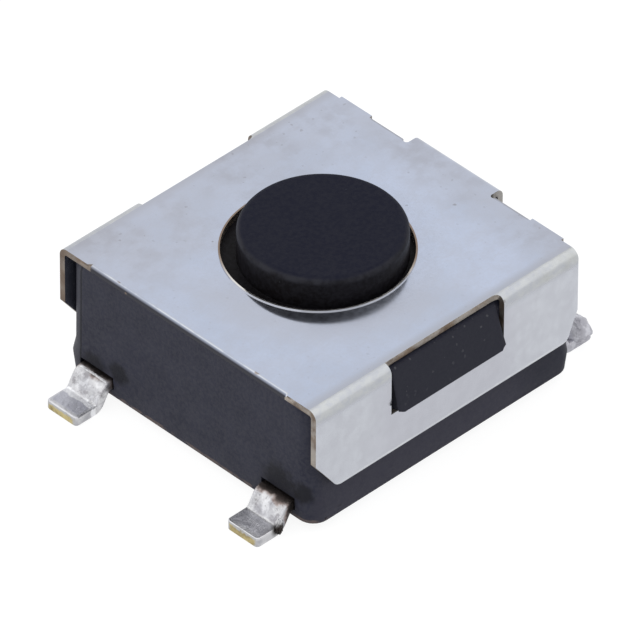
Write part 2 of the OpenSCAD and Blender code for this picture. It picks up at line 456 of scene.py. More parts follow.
class EffectBoard(NodeBoard):
    """Board of one shared effect: a node group of numbers."""

    def __init__(self, name: str, **inputs: float) -> None:
        """Start a group.

        Args:
            name: Name of the group.
            **inputs: Its inputs' defaults, with underscores for spaces in their names.
        """
        super().__init__(bpy.data.node_groups.new(name, "ShaderNodeTree"))
        for label, value in inputs.items():
            self._socket(label.replace("_", " "), "INPUT").default_value = value
        self.given = self.tree.nodes.new("NodeGroupInput")
        self.here = self.add("Mapping", {"Vector": self.add("TexCoord")["Object"],
                                         "Scale": (1 / MM,) * 3})

    def _socket(self, label: str, side: str) -> bpy.types.NodeTreeInterfaceSocket:
        """Give the group a number on its input or output side."""
        return self.tree.interface.new_socket(label, in_out=side,
                                              socket_type="NodeSocketFloat")

    def __getitem__(self, label: str) -> Wire:
        """Give one of the group's inputs."""
        return Wire(self, self.given.outputs[label])

    def close(self, **results: Wire) -> bpy.types.NodeTree:
        """Give the results out.

        Args:
            **results: The group's outputs by name.

        Returns:
            The finished group.
        """
        for label in results:
            self._socket(label, "OUTPUT")
        self.feed(self.tree.nodes.new("NodeGroupOutput"), results)
        return self.tree


class Effects:
    """The effects that several finishes share, each built once as a node group."""

    def __init__(self) -> None:
        """Build every group."""
        self.place = self._place()
        self.cloud = self._cloud()
        self.specks = self._specks()
        self.scratches = self._scratches()
        self.grain = self._grain()
        self.band = self._band()
        self.blot = self._blot()

    @staticmethod
    def _place() -> bpy.types.NodeTree:
        """Build X, Y, Z and the distances from the XZ plane and the upright axis.

        Returns:
            The group.
        """
        board = EffectBoard("place in millimetres")
        x = board.add("SeparateXYZ", {0: board.here})
        y, z = x[1], x[2]
        return board.close(X=x, Y=y, Z=z, Across=abs(y),
                           Radius=board.maths("SQRT", x * x + y * y))

    @staticmethod
    def _cloud() -> bpy.types.NodeTree:
        """Build soft cloudy patches, as a mask from 0 to 1.

        Returns:
            The group.
        """
        board = EffectBoard("cloudy patches", Size=1.0, Stretch_X=1.0, Stretch_Z=1.0,
                            Edge=0.2, Shift=0.0)
        spread = board.add("CombineXYZ", {0: board["Stretch X"], 1: 1.0, 2: board["Stretch Z"]})
        where = board.vector("ADD", board.vector("DIVIDE", board.here, spread), board["Shift"])
        noise = board.noise(where, 1.0 / board["Size"], 4.0, 0.55)
        return board.close(Mask=noise.ramp(0.5 - board["Edge"], board["Edge"] + 0.5))

    @staticmethod
    def _specks() -> bpy.types.NodeTree:
        """Build sparse round specks of uneven size, as a mask from 0 to 1.

        Returns:
            The group.
        """
        board = EffectBoard("sparse specks", Spacing=0.5, Speck=0.04, Share=0.3, Shift=0.0)
        where = board.vector("ADD", board.here, board["Shift"])
        wobble = board.noise(where, 14.0, 1.0)["Color"]
        cells = board.add("TexVoronoi", {
            "Vector": board.vector("MULTIPLY_ADD", wobble, (0.06, 0.06, 0.06), where),
            "Scale": 1.0 / board["Spacing"]})
        chance = board.add("SeparateColor", {0: cells["Color"]})
        chosen = board.maths("LESS_THAN", chance, board["Share"])
        size = board["Speck"] / board["Spacing"] * chance[1].ramp(0, 1, 0.4, 1.0)
        dot = (cells["Distance"] / size).ramp(0.6, 1.1, 1.0, 0.0)
        return board.close(Mask=dot * chosen)

    @staticmethod
    def _scratches() -> bpy.types.NodeTree:
        """Build thin broken lines that run along one direction, as a mask.

        Returns:
            The group.
        """
        board = EffectBoard("fine scratches", Along_X=0.1, Along_Y=0.1, Along_Z=0.1,
                            Fineness=20.0, Share=0.1)
        spread = board.add("CombineXYZ", {i: board["Along " + axis]
                                          for i, axis in enumerate("XYZ")})
        lines = board.noise(board.vector("MULTIPLY", board.here, spread), board["Fineness"],
                            3.0, 0.7)
        thin = board.add("MapRange", {"Value": abs(lines - 0.5), "From Max": board["Share"],
                                      "To Min": 1.0, "To Max": 0.0})
        broken = board.noise(board.here, 3.0, 2.0).ramp(0.45, 0.65)
        return board.close(Mask=thin * broken)

    @staticmethod
    def _grain() -> bpy.types.NodeTree:
        """Build an even fine grain, as a height from 0 to 1."""
        board = EffectBoard("fine grain", Size=0.05, Detail=2.0)
        return board.close(Height=board.noise(board.here, 1.0 / board["Size"],
                                              board["Detail"], 0.6))

    @staticmethod
    def _band() -> bpy.types.NodeTree:
        """Build a soft band around one value of a coordinate, as a mask.

        Returns:
            The group.
        """
        board = EffectBoard("soft band", Value=0.0, Middle=0.0, Half_Width=0.1, Ragged=0.0)
        swing = (board.noise(board.here, 5.0, 3.0) - 0.5) * board["Ragged"]
        ratio = abs(board["Value"] + swing - board["Middle"]) / board["Half Width"]
        return board.close(Mask=ratio.ramp(0.5, 1.0, 1.0, 0.0))

    @staticmethod
    def _blot() -> bpy.types.NodeTree:
        """Build one ragged blot around a point in millimetres, as a mask.

        Returns:
            The group.
        """
        board = EffectBoard("ragged blot", X=0.0, Y=0.0, Z=0.0, Reach=0.3, Ragged=0.1)
        middle = board.add("CombineXYZ", {i: board[axis] for i, axis in enumerate("XYZ")})
        swing = (board.noise(board.here, 7.0, 3.0) - 0.5) * board["Ragged"]
        ratio = (board.vector("DISTANCE", board.here, middle)["Value"] + swing) / board["Reach"]
        return board.close(Mask=ratio.ramp(0.45, 1.0, 1.0, 0.0))


class Skin(NodeBoard):
    """Board of one material, with the shared effects at hand."""

    def __init__(self, name: str, effects: Effects) -> None:
        """Start a material.

        Args:
            name: Its name.
            effects: The shared effects.
        """
        self.material = bpy.data.materials.new(name)
        self.material.use_nodes = True
        super().__init__(self.material.node_tree)
        self.effects = effects
        self.surface = self.tree.nodes["Principled BSDF"]

    def set(self, **values: Setting) -> None:
        """Feed inputs of the surface shader."""
        self.feed(self.surface, values)

    def relief(self, height: Wire, depth: float) -> None:
        """Give the surface a fine relief of a depth in millimetres."""
        self.set(Normal=self.add("Bump", {"Height": height, "Strength": 1.0,
                                          "Distance": depth * MM}))

    def _effect(self, group: bpy.types.NodeTree, values: dict[str, Setting]) -> Wire:
        """Place a shared effect with its own values."""
        return self.add("Group", values, node_tree=group)

    def place(self) -> tuple[Wire, ...]:
        """Give X, Y, Z and the distances from the XZ plane and the upright axis."""
        node = self._effect(self.effects.place, {})
        return tuple(node[i] for i in range(5))

    def cloud(self, **values: float) -> Wire:
        """Lay soft cloudy patches."""
        return self._effect(self.effects.cloud, values)

    def specks(self, **values: float) -> Wire:
        """Strew sparse specks."""
        return self._effect(self.effects.specks, values)

    def scratches(self, x: float, y: float, z: float, fineness: float, share: float) -> Wire:
        """Draw fine scratches, which run along the axis with the least value."""
        return self._effect(self.effects.scratches, {
            "Along X": x, "Along Y": y, "Along Z": z, "Fineness": fineness, "Share": share})

    def grain(self, size: float, detail: float = 3.0) -> Wire:
        """Lay an even fine grain."""
        return self._effect(self.effects.grain, {"Size": size, "Detail": detail})

    def band(self, value: Wire, middle: float, half_width: float, ragged: float) -> Wire:
        """Draw a soft band around one value of a coordinate."""
        return self._effect(self.effects.band, {"Value": value, "Middle": middle,
                                                "Half Width": half_width, "Ragged": ragged})

    def blot(self, middle: Point, reach: float, ragged: float = 0.1) -> Wire:
        """Drop a ragged blot at a point."""
        return self._effect(self.effects.blot, {**dict(zip("XYZ", middle)), "Reach": reach,
                                                "Ragged": ragged})


# ---------------------------------------------------------------- finishes


@dataclass(frozen=True)
class Finish:
    """What every finish shares: its name, its effects and how its material is made."""

    effects: Effects
    name: str = "finish"
    metallic: float = 0.0

    def material(self) -> bpy.types.Material:
        """Build the material.

        Returns:
            The material.
        """
        skin = Skin(self.name, self.effects)
        skin.set(Metallic=self.metallic)
        self._dress(skin)
        return skin.material

    def _dress(self, skin: Skin) -> None:
        """Lay the finish's own colours and relief."""


@dataclass(frozen=True)
class PolishedPlating(Finish):
    """Bright plated sheet of the cover: cloudy on top, grainy on the folds."""

    name: str = "polished plating"
    metallic: float = 1.0
    bright: Colour = (0.52, 0.578, 0.72)
    cloudy: Colour = (0.475, 0.53, 0.66)
    brown: Colour = (0.46, 0.475, 0.54)
    side: Colour = (0.535, 0.545, 0.60)
    side_ends: Colour = (0.585, 0.605, 0.655)
    streaked: Colour = (0.4601, 0.4687, 0.516)
    scuffed: Colour = (0.4815, 0.4905, 0.54)
    fold: Colour = (0.535, 0.55, 0.56)
    # painted highlight: glint laid on the rounded -X edge and along the lower edge of the
    # folded sides
    glint: Colour = (0.66, 0.68, 0.71)
    beside: Colour = (0.41, 0.43, 0.49)
    olive: Colour = (0.40, 0.41, 0.38)
    grimy: Colour = (0.35, 0.355, 0.40)
    burr: Colour = (0.26, 0.25, 0.25)
    pit: Colour = (0.22, 0.21, 0.21)
    # painted shade: near-black laid on the rounded -X edge where it turns away from the light
    roll_shade: Colour = (0.045, 0.045, 0.055)
    # tan of bare metal for the nicks on the -X edge, also painted shade on the far side of the
    # lip round the hole
    lip_tan: Colour = (0.25, 0.19, 0.15)
    # painted highlight on the near side of the lip round the hole
    lip_highlight: Colour = (0.78, 0.76, 0.73)
    lip_height: float = 2.7505
    end: float = 3.1
    skirt_end: float = 0.91
    fold_start: float = 2.93
    fold_height: float = 2.52
    roll_half: float = 2.38
    roll_sum: Pair = (-0.27, -0.415)
    burr_reach: Pair = (1.04, 1.93)

    def _dress(self, skin: Skin) -> None:
        """Lay the finish's own colours and relief.

        Args:
            skin: Board of the material.
        """
        x, y, z, across, radius = skin.place()
        patches = skin.cloud(Size=1.6, Edge=0.16)
        scuffs = skin.cloud(Size=0.32, Edge=0.14, Shift=21.0)
        crazed = skin.grain(0.12)
        pits = skin.specks(Spacing=0.6, Speck=0.04, Share=0.35)
        low = z.ramp(self.fold_height + 0.1, self.fold_height - 0.15)
        bent = (across.ramp(self.fold_start - 0.01, self.fold_start + 0.01)
                * z.ramp(self.fold_height - 0.1, self.fold_height + 0.06))
        rubbed = skin.cloud(Size=0.22, Stretch_X=2.0, Edge=0.12, Shift=17.0)
        worn = x.ramp(1.6, 2.9) * skin.cloud(Size=0.6, Edge=0.15, Shift=11.0)
        colour = self._top(skin, patches, scuffs).coat(
            (low, self._wall(skin, scuffs)),
            (bent * crazed.ramp(0.3, 0.6, 0.6, 1.0), self.fold),
            (rubbed * bent * 0.45, self.beside),
            (worn * bent * 0.8, self.olive),
            (pits * 0.5, self.pit))
        side_on = (x - y).ramp(-0.4, 2.0)
        ring = radius.ramp(2.3, 1.9)
        haze = (patches.ramp(0, 1, 0.10, 0.15) + bent * 0.16 + low * 0.12
                + ring * side_on.ramp(0, 1, -0.04, 0.05))
        dusty = ring * crazed.ramp(0.3, 0.7, 0.6, 1.4) * side_on.ramp(0, 1, 0.06, 0.17)
        skin.set(Base_Color=colour, Metallic=1.0 - dusty, Roughness=haze)
        skin.relief(crazed * (bent + 0.06) - pits * 0.5, 0.004)

    def _top(self, skin: Skin, patches: Wire, scuffs: Wire) -> Wire:
        """Colour the upper face, the rounded -X edge with its painted shade and painted
        highlight, and the lip round the hole with its painted highlight and painted shade.

        Args:
            skin: Board of the material.
            patches: Mask of the large patches.
            scuffs: Mask of the small ones.

        Returns:
            The colour.
        """
        x, y, z, across, radius = skin.place()
        stains = skin.cloud(Size=0.9, Edge=0.12, Shift=7.3)
        corner = y.ramp(0.2, 2.4) * x.ramp(0.5, -1.8)
        rear = y.ramp(0.6, 2.9) | x.ramp(2.0, 3.1)
        before = radius.ramp(2.9, 2.0) * (x + y).ramp(-0.6, -2.0)
        grime = (skin.specks(Spacing=0.13, Speck=0.03, Share=0.3, Shift=5.0)
                 * rear.ramp(0, 1, 0.35, 1.0) * stains.ramp(0, 1, 0.45, 1.0))
        burr = skin.band(x, self.end + 0.01, 0.05, 0.03)
        inner, outer = self.burr_reach
        burr = burr * across.ramp(inner, inner + 0.06) * across.ramp(outer, outer - 0.05)
        # mask of the painted shade on the rounded -X edge, darkest low on the rounding
        roll_shade = (x + z).ramp(*self.roll_sum) * across.ramp(self.roll_half + 0.04,
                                                            self.roll_half - 0.04)
        # breaks the painted highlight on the rounded -X edge into patches
        bare = skin.cloud(Size=0.5, Edge=0.14, Shift=15.0).ramp(0, 1, 0.1, 0.7)
        nicks = skin.specks(Spacing=0.2, Speck=0.06, Share=0.6, Shift=2.0)
        # painted highlight on the near side of the lip's top, painted shade in tan on its far
        # side
        lip_light_and_shade = skin.blend((x + y).ramp(-0.2, -1.5), self.lip_tan, self.lip_highlight)
        return skin.blend(patches, self.bright, self.cloudy).coat(
            (stains * corner * 0.55, self.brown),
            (across.ramp(self.fold_start - 0.22, self.fold_start - 0.02) * 0.85, self.beside),
            (rear * 0.5, self.brown),
            (before * 0.6, self.brown),
            (skin.grain(0.06).ramp(0.35, 0.65, 0.0, 0.16), self.brown),
            (skin.scratches(0.25, 1.0, 1.0, 6.0, 0.015) * 0.35, self.brown),
            (scuffs * 0.22, self.brown),
            (grime * 0.75, self.grimy),
            (scuffs * stains * rear * 0.4, self.grimy),
            (burr * 0.5, self.burr),
            # painted shade on the rounded -X edge
            (roll_shade, self.roll_shade),
            # painted highlight on the rounded -X edge, in patches
            (roll_shade.ramp(0.01, 0.12) * roll_shade.ramp(0.5, 0.2) * bare, self.glint),
            (nicks * roll_shade.ramp(0.004, 0.05) * 0.7, self.lip_tan),
            # painted highlight and painted shade on the lip's top
            (z.ramp(self.lip_height, self.lip_height + NEAR), lip_light_and_shade))

    def _wall(self, skin: Skin, scuffs: Wire) -> Wire:
        """Colour the folded sides.

        Args:
            skin: Board of the material.
            scuffs: Mask of the small patches.

        Returns:
            The colour.
        """
        x, _, z, _, _ = skin.place()
        streaks = skin.cloud(Size=0.16, Stretch_Z=4.0, Edge=0.3)
        # painted highlight along the lower edge of the folded sides
        hem_highlight = skin.band(z, self.skirt_end, 0.06, 0.05) * scuffs.ramp(0, 1, 0.35, 0.8)
        return skin.blend(abs(x).ramp(1.2, 2.0), self.side, self.side_ends).coat(
            (streaks * 0.22, self.streaked),
            (scuffs * 0.4, self.scuffed),
            (hem_highlight, self.glint))


@dataclass(frozen=True)
class ShearedEdge(Finish):
    """Bare tan metal of a cut edge, rough, with a little plating drawn over it."""

    name: str = "sheared edge"
    metallic: float = 0.85
    bare: Colour = (0.28, 0.215, 0.16)
    dark: Colour = (0.15, 0.11, 0.085)
    drawn: Colour = (0.48, 0.46, 0.43)
    tab_side: Colour = (0.34, 0.33, 0.32)
    # painted shade for the notches beside the tab, where the cut edge looks into shadow
    pit: Colour = (0.02, 0.016, 0.014)
    notch: Point = (3.08, 1.06, 2.70)

    def _dress(self, skin: Skin) -> None:
        """Lay the finish's own colours and relief.

        Args:
            skin: Board of the material.
        """
        x, y, _, _, _ = skin.place()
        patches = skin.cloud(Size=0.35, Edge=0.2, Shift=2.0)
        notch_x, notch_y, notch_z = self.notch
        tear = skin.scratches(1.0, 1.0, 0.15, 30.0, 0.12)
        skin.set(Roughness=tear.ramp(0, 1, 0.42, 0.6),
                 Base_Color=skin.blend(patches, self.bare, self.dark).coat(
                     (skin.cloud(Size=0.5, Edge=0.08, Shift=5.0) * 0.6, self.drawn),
                     (y.ramp(1.5, 2.6, 0.0, 0.6), self.dark),
                     (x.ramp(3.1, 3.16, 0.0, 0.8), self.tab_side),
                     # painted shade in the notches beside the tab
                     *((skin.blot((notch_x, side * notch_y, notch_z), 0.13, 0.04), self.pit)
                       for side in BOTH)))
        skin.relief(tear, 0.004)


@dataclass(frozen=True)
class BaseMoulding(Finish):
    """Dark moulded plastic of the base, with a brownish flash line at its parting."""

    name: str = "base moulding"
    body: Colour = (0.0235, 0.0245, 0.040)
    pale: Colour = (0.032, 0.033, 0.051)
    # painted shade: a darker copy of the plastic on the snap bosses' faces
    shaded_boss: Colour = (0.020, 0.0205, 0.030)
    # painted light: a lighter copy of the plastic on the walls under the folded sides
    lit_ledge: Colour = (0.048, 0.046, 0.063)
    # lighter tone of the grain, also painted light on the rounded -X,+Y corner
    worn: Colour = (0.060, 0.060, 0.072)
    flash: Colour = (0.13, 0.103, 0.098)
    speck: Colour = (0.14, 0.14, 0.15)
    # dark specks of dirt low on the base, also the painted shade round the terminal exits and
    # beside the -X,+Y corner
    soot_and_shade: Colour = (0.006, 0.006, 0.008)
    underside: float = 0.15
    # where the painted light on the rounded -X,+Y corner starts, with a painted shade line
    # along it
    corner_band_edge: float = 2.6
    # painted shade: dark patches on the -X face round the terminal exits
    exit_shade_patches: tuple[tuple[Point, float, float], ...] = (
        ((-3.1, -2.25, 0.70), 0.56, 0.35), ((-3.1, -2.75, 0.8), 0.28, 0.2),
        ((-3.1, 1.66, 0.80), 0.30, 0.15), ((-3.1, 2.25, 0.6), 0.38, 0.2))

    def _dress(self, skin: Skin) -> None:
        """Lay the finish's own colours and relief.

        Args:
            skin: Board of the material.
        """
        x, y, z, across, _ = skin.place()
        patches = skin.cloud(Size=0.5, Edge=0.25, Shift=1.0)
        # faces of the snap bosses, which get painted shade
        proud = across.ramp(2.96, 2.98) * z.ramp(1.6, 1.7)
        # walls under the folded sides, painted lighter toward -X and darker toward +X
        below = across.ramp(2.9, 3.0) * z.ramp(1.0, 0.9)
        line = (skin.band(z, self.underside + 0.04, 0.11, 0.08)
                * skin.cloud(Size=0.25, Edge=0.2, Shift=4.0))
        dots = skin.specks(Spacing=0.25, Speck=0.05, Share=0.25, Shift=8.0) * z.ramp(0.42, 0.3)
        dust = skin.specks(Spacing=0.4, Speck=0.022, Share=0.3, Shift=3.0)
        scuffs = (skin.specks(Spacing=0.15, Speck=0.036, Share=0.6, Shift=13.0)
                  * z.ramp(1.9, 2.5, 0.3, 1.0))
        left = x.ramp(-2.7, -2.9)
        skin.set(Base_Color=skin.blend(patches, self.body, self.pale).coat(
            (skin.grain(0.07, 4.0).ramp(0.35, 0.65, 0.0, 0.35), self.worn),
            # painted shade on the snap bosses, painted light under the folded sides
            (proud * 0.8, self.shaded_boss),
            (below * 0.55, skin.blend(x.ramp(1.4, 2.4), self.lit_ledge, self.shaded_boss)),
            (line.ramp(0.0, 0.7, 0.0, 0.95) * x.ramp(-2.6, -3.0), self.flash),
            (dots * 0.8, self.soot_and_shade),
            (dust * 0.6, self.speck),
            (scuffs * proud * 0.4, self.speck),
            # painted light on the rounded -X,+Y corner, painted shade round the terminal exits
            # and in a line beside that corner
            (y.ramp(self.corner_band_edge, self.corner_band_edge + 0.06) * left * 0.6, self.worn),
            *((skin.blot(*blot) * 0.75, self.soot_and_shade) for blot in self.exit_shade_patches),
            (skin.band(y, self.corner_band_edge, 0.03, 0.01) * left * 0.7, self.soot_and_shade)))
        grain = skin.grain(0.03)
        skin.set(IOR=1.5, Specular_IOR_Level=0.14, Roughness=grain.ramp(0.3, 0.7, 0.5, 0.62))
        skin.relief(grain * 0.35 + line, 0.006)


@dataclass(frozen=True)
class KeyMoulding(Finish):
    """Black moulded plastic of the plunger, grained on top and smooth on its side, with painted
    shade on its side and a painted highlight round its top edge.
    """

    name: str = "key moulding"
    top: Colour = (0.0115, 0.0125, 0.0245)
    # painted shade: the side is coloured far darker than the top of the same plastic
    side: Colour = (0.0060, 0.0048, 0.0052)
    patch: Colour = (0.02, 0.021, 0.03)
    # lighter tone for the grain, also a painted highlight round the rounded top edge
    rim: Colour = (0.036, 0.036, 0.044)
    speck: Colour = (0.10, 0.11, 0.13)
    edge_height: float = 3.22

    def _dress(self, skin: Skin) -> None:
        """Lay the finish's own colours and relief.

        Args:
            skin: Board of the material.
        """
        z, edge = skin.place()[2], self.edge_height
        face = z.ramp(edge - 0.035, edge + 0.02)
        # band of the painted highlight round the rounded top edge
        worn = z.ramp(edge - 0.12, edge - 0.03) * z.ramp(edge + 0.035, edge)
        rubbed = skin.cloud(Size=0.35, Edge=0.18, Shift=12.0).ramp(0, 1, 0.25, 0.9)
        dust = skin.specks(Spacing=0.35, Speck=0.02, Share=0.3, Shift=6.0)
        skin.set(IOR=1.5, Specular_IOR_Level=0.06, Roughness=face.ramp(0, 1, 0.42, 0.62),
                 # side with painted shade, then the painted highlight round the top edge
                 Base_Color=skin.blend(face, self.side, self.top).coat(
                     (worn * rubbed, self.rim),
                     (skin.cloud(Size=0.8, Edge=0.25, Shift=9.0) * 0.2, self.patch),
                     (skin.grain(0.08, 4.0).ramp(0.35, 0.65, 0.0, 0.22), self.rim),
                     (dust * 0.5, self.speck)))
        skin.relief(skin.grain(0.025) * face.ramp(0, 1, 0.3, 1.0), 0.005)


@dataclass(frozen=True)
class TerminalPlating(Finish):
    """Dull tin on the terminals, scuffed and scratched where they were bent."""

    name: str = "terminal plating"
    metallic: float = 1.0
    clean: Colour = (0.66, 0.66, 0.675)
    dull: Colour = (0.44, 0.44, 0.47)
    scuffed: Colour = (0.72, 0.72, 0.73)
    # lighter tin: worn rims of the feet with a painted highlight, and a painted highlight along
    # the crease
    bright: Colour = (0.74, 0.74, 0.75)
    # painted highlight on the bends and in flecks on the slopes
    shine: Colour = (0.96, 0.97, 1.0)
    rubbed: Colour = (0.33, 0.32, 0.34)
    pit: Colour = (0.16, 0.15, 0.15)
    # painted reflection: the tops of the rear feet coloured darker and those of the front feet
    # lighter
    rear_foot_reflection: Colour = (0.56, 0.57, 0.65)
    front_foot_reflection: Colour = (0.88, 0.88, 0.93)
    solder: Colour = (0.63, 0.63, 0.69)
    dull_solder: Colour = (0.36, 0.355, 0.40)
    crust: Colour = (0.035, 0.028, 0.026)
    rust: Colour = (0.20, 0.10, 0.06)
    blob: Point = (3.8, -2.35, 0.25)
    chip: Point = (-3.47, -2.63, 0.16)
    middle: float = 2.2
    half: float = 0.37
    exit: float = 3.12
    crease: float = 3.50
    toe: float = 3.93

    def _dress(self, skin: Skin) -> None:
        """Lay the finish's own colours and relief.

        Args:
            skin: Board of the material.
        """
        blob = skin.blot(self.blob, 0.75)
        patches = skin.cloud(Size=0.28, Edge=0.18, Shift=3.5)
        lines = skin.scratches(0.12, 1.0, 0.3, 16.0, 0.06)
        pits = skin.specks(Spacing=0.14, Speck=0.02, Share=0.35, Shift=2.0)
        crumbs = skin.grain(0.16).ramp(0.44, 0.56) * blob
        skin.set(Metallic=blob.ramp(0, 1, 0.92, 0.35), Roughness=patches.ramp(0, 1, 0.38, 0.5),
                 Base_Color=skin.blend(patches, self.clean, self.dull).coat(
                     (lines * 0.8, self.scuffed),
                     (pits * 0.7, self.pit),
                     *self._wear(skin),
                     (blob * 0.8, self.solder),
                     (crumbs * 0.55, self.dull_solder),
                     (skin.blot(self.chip, 0.19, 0.03), self.crust)))
        skin.relief(skin.grain(0.09) - lines * 0.4, 0.012)

    def _wear(self, skin: Skin) -> list[tuple[Wire, Setting]]:
        """Give the coats of rubbed edges, painted highlights on the bends and rims, painted
        reflection on the feet and crust where a terminal leaves.

        Args:
            skin: Board of the material.

        Returns:
            Each coat's mask and its colour.
        """
        x, y, z, across, _ = skin.place()
        out, aside = abs(x), abs(across - self.middle)
        foot = out.ramp(self.crease - 0.02, self.crease + 0.05)
        front = y.ramp(0.1, -0.1)
        rims = (aside.ramp(self.half - 0.07, self.half - 0.03)
                | out.ramp(self.toe - 0.08, self.toe - 0.03)) * foot * z.ramp(0.13, 0.17)
        slope = (out.ramp(self.exit + 0.05, self.exit + 0.16)
                 * out.ramp(self.crease, self.crease - 0.06))
        # grain that lays painted highlight flecks and darker flecks on the slopes
        scuffs = skin.grain(0.16, 4.0)
        ragged = out + skin.grain(0.25, 2.0).ramp(0.3, 0.7, -0.06, 0.06)
        past = ragged - front.ramp(0, 1, self.exit + 0.06, self.exit + 0.12)
        # painted highlight across the bend where the terminal leaves the base
        knee = (skin.band(out, self.exit + 0.07, 0.03, 0.02) * front.ramp(0, 1, 0.8, 0.0)
                * aside.ramp(self.half - 0.03, self.half - 0.08))
        # painted highlight along the lower bend
        bend = skin.band(out, self.crease + 0.04, 0.07, 0.12) * front.ramp(0, 1, 0.85, 0.0)
        # painted reflection on the tops of the feet, then painted highlights on rims, crease,
        # bends and slopes
        return [(foot * z.ramp(0.17, 0.19) * 0.8,
                 skin.blend(front, self.rear_foot_reflection, self.front_foot_reflection)),
                (rims * 0.6, self.bright),
                (skin.band(out, self.crease, 0.035, 0.05) * 0.7, self.bright),
                (bend, self.shine),
                (scuffs.ramp(0.52, 0.60) * slope * 0.3, self.shine),
                (scuffs.ramp(0.46, 0.38) * slope * 0.8, self.rubbed),
                (past.ramp(0.08, 0.0) * front.ramp(0, 1, 0.5, 0.6), self.rust),
                (past.ramp(0.03, -0.05, 0.0, 0.9), self.crust),
                (knee, self.shine)]


@dataclass(frozen=True)
class BareBrass(Finish):
    """Sheared brass on the toes of the terminals."""

    name: str = "bare brass"
    metallic: float = 0.9
    bright: Colour = (0.60, 0.51, 0.25)
    dark: Colour = (0.34, 0.27, 0.13)
    tin: Colour = (0.50, 0.50, 0.51)
    middle: float = 2.2

    def _dress(self, skin: Skin) -> None:
        """Lay the finish's own colours and relief.

        Args:
            skin: Board of the material.
        """
        _, _, z, across, _ = skin.place()
        patches = skin.cloud(Size=0.16, Edge=0.2, Shift=8.0)
        swing = skin.grain(0.1, 2.0).ramp(0.3, 0.7, -0.02, 0.02)
        drawn = ((abs(across - self.middle) + swing).ramp(0.27, 0.33)
                 | (z + swing).ramp(0.12, 0.16))
        tear = skin.scratches(1.0, 1.0, 0.2, 25.0, 0.1)
        skin.set(Roughness=tear.ramp(0, 1, 0.35, 0.55),
                 Base_Color=skin.blend(patches, self.bright, self.dark).coat((drawn, self.tin)))
        skin.relief(tear, 0.005)


@dataclass(frozen=True)
class SpringSteel(Finish):
    """Rolled spring steel of the contact dome."""

    name: str = "spring steel"
    metallic: float = 1.0
    light: Colour = (0.60, 0.60, 0.60)
    dark: Colour = (0.46, 0.46, 0.47)

    def _dress(self, skin: Skin) -> None:
        """Lay the finish's own colours and relief.

        Args:
            skin: Board of the material.
        """
        lines = skin.scratches(0.05, 1.0, 1.0, 18.0, 0.12)
        skin.set(Base_Color=skin.blend(lines, self.light, self.dark),
                 Roughness=lines.ramp(0, 1, 0.22, 0.34))
        skin.relief(lines, 0.001)


@dataclass(frozen=True)
class StudioFloor(Finish):
    """White floor that shows only a faint shadow."""

    name: str = "studio floor"
    paper: Colour = (0.9, 0.9, 0.9)
    glow: float = 0.80
    seen_glow: float = 0.90
    lit_share: float = 0.20

    def _dress(self, skin: Skin) -> None:
        """Lay plain paper, and for the camera and mirrors paper that glows as well.

        Args:
            skin: Board of the material.
        """
        skin.set(Base_Color=self.paper, Roughness=0.9, Specular_IOR_Level=0.0)
        ray = skin.add("LightPath")["Is Camera Ray"]
        matte = skin.add("BsdfDiffuse", {"Color": (self.lit_share,) * 3})
        glow = skin.add("Emission", {"Color": WHITE,
                                     "Strength": ray.ramp(0, 1, self.glow, self.seen_glow)})
        skin.pick_shader(ray | ray["Is Glossy Ray"], Wire(skin, skin.surface.outputs[0]),
                         skin.add("AddShader", {0: matte, 1: glow}), "Material Output")


# ---------------------------------------------------------------- pieces


